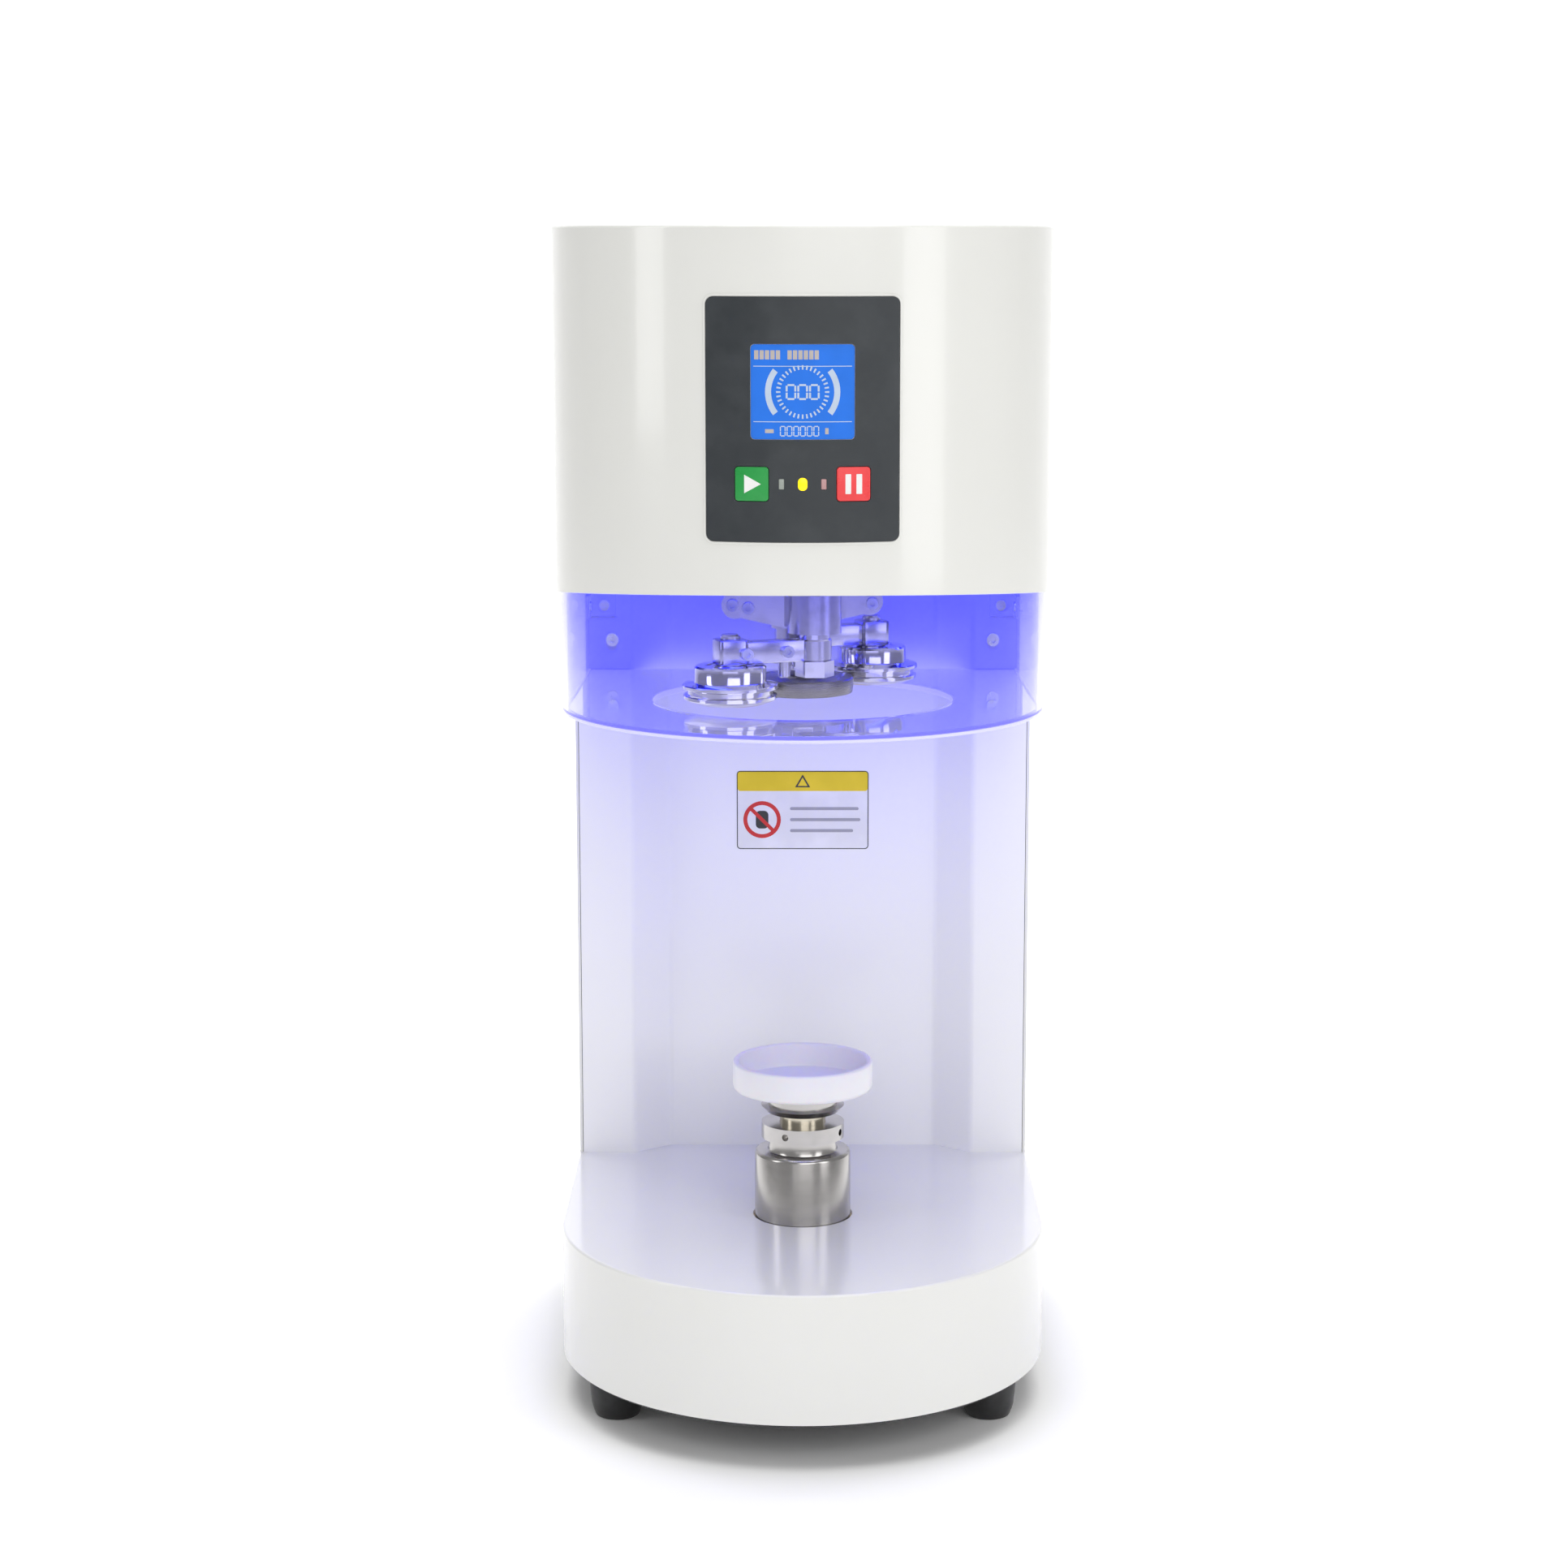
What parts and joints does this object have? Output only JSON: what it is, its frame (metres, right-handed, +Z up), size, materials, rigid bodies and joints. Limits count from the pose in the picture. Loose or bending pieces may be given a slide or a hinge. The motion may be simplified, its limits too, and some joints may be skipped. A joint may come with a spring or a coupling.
{
  "type": "cup sealing machine",
  "caption": "Tabletop can and cup seamer: D-shaped head and base on a rear column, clear guard, turning head with seaming rollers over a still chuck, and a lifting tray.",
  "frame": {"origin": "on the table, under the middle of the machine outline", "axes": "+Z up, front with the keys towards -Y, +X to the right seen from the front"},
  "size_m": [0.25, 0.3128, 0.601],
  "materials": {
    "white_enamel": "gloss warm white stove enamel on sheet steel",
    "dark_enamel": "satin black paint",
    "black_rubber": "matt moulded rubber",
    "zinc_steel": "bright zinc plate",
    "aluminium_plate": "milled",
    "blue_light": "glowing blue strip",
    "polished_steel": "polished and hard",
    "satin_steel": "turned, fine feed marks",
    "dark_steel": "dark hardened steel",
    "spring_steel": "oiled spring wire",
    "bronze": "turned brass",
    "motor_enamel": "satin black can",
    "belt_rubber": "toothed rubber belt",
    "clear_acrylic": "clear polished sheet",
    "panel_film": "dark grey printed film, fine texture",
    "display_glass": "lit blue liquid crystal display",
    "lamp_lens": "small lit lenses",
    "circuit_board": "green circuit board with parts",
    "tray_plastic": "turned white nylon",
    "black_plastic": "black moulded plastic",
    "green_key": "green keycap film",
    "red_key": "red keycap film"
  },
  "bodies": {
    "frame": {"base_shell": "white_enamel", "base_bottom_plate": "dark_enamel", "rubber_feet": "black_rubber", "column_front_panel": "white_enamel", "column_rear_cover": "white_enamel", "column_posts": "zinc_steel", "cover_screws": "zinc_steel", "head_cover": "white_enamel", "head_deck": "aluminium_plate", "led_strip": "blue_light", "spindle_housing": "aluminium_plate", "spindle_bearings": "polished_steel", "head_bridge": "aluminium_plate", "centre_shaft": "polished_steel", "seaming_chuck": "dark_steel", "head_motor": "motor_enamel", "timing_belts": "belt_rubber", "guard_wall": "clear_acrylic", "guard_floor": "clear_acrylic", "guard_brackets": "zinc_steel", "guard_screws": "zinc_steel", "control_overlay": "panel_film", "display_window": "display_glass", "indicator_lights": "lamp_lens", "control_board": "circuit_board", "lift_guide_bush": "bronze", "lift_bracket": "zinc_steel", "lift_motor": "motor_enamel", "power_inlet": "black_plastic", "power_supply": "zinc_steel", "driver_board": "circuit_board"},
    "lift": {"lift_cylinder": "satin_steel", "lift_nut": "bronze", "lock_ring": "satin_steel"},
    "tray": {"tray_stem": "bronze", "cup_tray": "tray_plastic"},
    "screw": {"lead_screw": "polished_steel"},
    "lift_drive": {"lift_motor_pulley": "aluminium_plate"},
    "turret": {"turret_spindle": "polished_steel", "turret_pulley": "aluminium_plate", "turret_crosshead": "satin_steel", "turret_screws": "zinc_steel", "return_springs": "spring_steel"},
    "cam": {"closing_cam": "satin_steel"},
    "drive": {"drive_pulleys": "aluminium_plate"},
    "start": {"start_key": "green_key"},
    "stop": {"stop_key": "red_key"},
    "rocker": {"power_rocker": "black_plastic"},
    "first_arm_set": {"first_arm": "satin_steel", "first_arm_screws": "zinc_steel", "first_arm_shaft": "polished_steel", "first_lever": "satin_steel"},
    "first_roller_set": {"first_roller": "polished_steel"},
    "first_follower_set": {"first_follower": "polished_steel"},
    "second_arm_set": {"second_arm": "satin_steel", "second_arm_screws": "zinc_steel", "second_arm_shaft": "polished_steel", "second_lever": "satin_steel"},
    "second_roller_set": {"second_roller": "polished_steel"},
    "second_follower_set": {"second_follower": "polished_steel"}
  },
  "joints": [
    {"name": "lift_slide", "type": "slide", "parent": "frame", "child": "lift", "axis": [0, 0, 1], "range_m": [0, 0.03]},
    {"name": "tray_height", "type": "slide", "parent": "lift", "child": "tray", "axis": [0, 0, 1], "range_m": [-0.005, 0.01]},
    {"name": "screw_turn", "type": "hinge", "parent": "frame", "child": "screw", "pos_m": [0, -0.0196, 0.06], "axis": [0, 0, 1], "range_deg": [0, 1080]},
    {"name": "lift_drive_turn", "type": "hinge", "parent": "frame", "child": "lift_drive", "pos_m": [0, 0.0424, 0.04], "axis": [0, 0, 1], "range_deg": [0, 1080]},
    {"name": "turret_spin", "type": "hinge", "parent": "frame", "child": "turret", "pos_m": [0, -0.0196, 0.41], "axis": [0, 0, 1], "continuous": true},
    {"name": "cam_spin", "type": "hinge", "parent": "frame", "child": "cam", "pos_m": [0, -0.0196, 0.435], "axis": [0, 0, 1], "continuous": true},
    {"name": "drive_spin", "type": "hinge", "parent": "frame", "child": "drive", "pos_m": [0, 0.0744, 0.505], "axis": [0, 0, 1], "continuous": true},
    {"name": "first_arm_close", "type": "hinge", "parent": "turret", "child": "first_arm_set", "pos_m": [0.006, -0.0446, 0.39], "axis": [0, 0, -1], "range_deg": [0, 9.5], "stiffness_Nm_per_rad": 0.6, "springref_deg": -3.44},
    {"name": "first_roller_spin", "type": "hinge", "parent": "first_arm_set", "child": "first_roller_set", "pos_m": [-0.036, -0.05958, 0.376], "axis": [0, 0, 1], "continuous": true},
    {"name": "first_follower_spin", "type": "hinge", "parent": "first_arm_set", "child": "first_follower_set", "pos_m": [0.03, -0.0276, 0.435], "axis": [0, 0, 1], "continuous": true},
    {"name": "second_arm_close", "type": "hinge", "parent": "turret", "child": "second_arm_set", "pos_m": [-0.006, 0.0054, 0.39], "axis": [0, 0, -1], "range_deg": [0, 9.5], "stiffness_Nm_per_rad": 0.6, "springref_deg": -3.44},
    {"name": "second_roller_spin", "type": "hinge", "parent": "second_arm_set", "child": "second_roller_set", "pos_m": [0.036, 0.02038, 0.376], "axis": [0, 0, 1], "continuous": true},
    {"name": "second_follower_spin", "type": "hinge", "parent": "second_arm_set", "child": "second_follower_set", "pos_m": [-0.03, -0.0116, 0.435], "axis": [0, 0, 1], "continuous": true},
    {"name": "start_press", "type": "slide", "parent": "frame", "child": "start", "axis": [0.1882, 0.9821, 0], "range_m": [0, 0.0008], "stiffness_N_per_m": 600, "springref_m": -0.0005},
    {"name": "stop_press", "type": "slide", "parent": "frame", "child": "stop", "axis": [-0.1882, 0.9821, 0], "range_m": [0, 0.0008], "stiffness_N_per_m": 600, "springref_m": -0.0005},
    {"name": "rocker_tilt", "type": "hinge", "parent": "frame", "child": "rocker", "pos_m": [0.015, 0.1519, 0.057], "axis": [-1, 0, 0], "range_deg": [0, 16]}
  ],
  "couplings": [
    {"joint": "screw_turn", "follows": "lift_slide", "rad_per_m": 628.32},
    {"joint": "lift_drive_turn", "follows": "lift_slide", "rad_per_m": 628.32},
    {"joint": "cam_spin", "follows": "turret_spin", "ratio": 1.0385},
    {"joint": "drive_spin", "follows": "turret_spin", "ratio": 3}
  ]
}
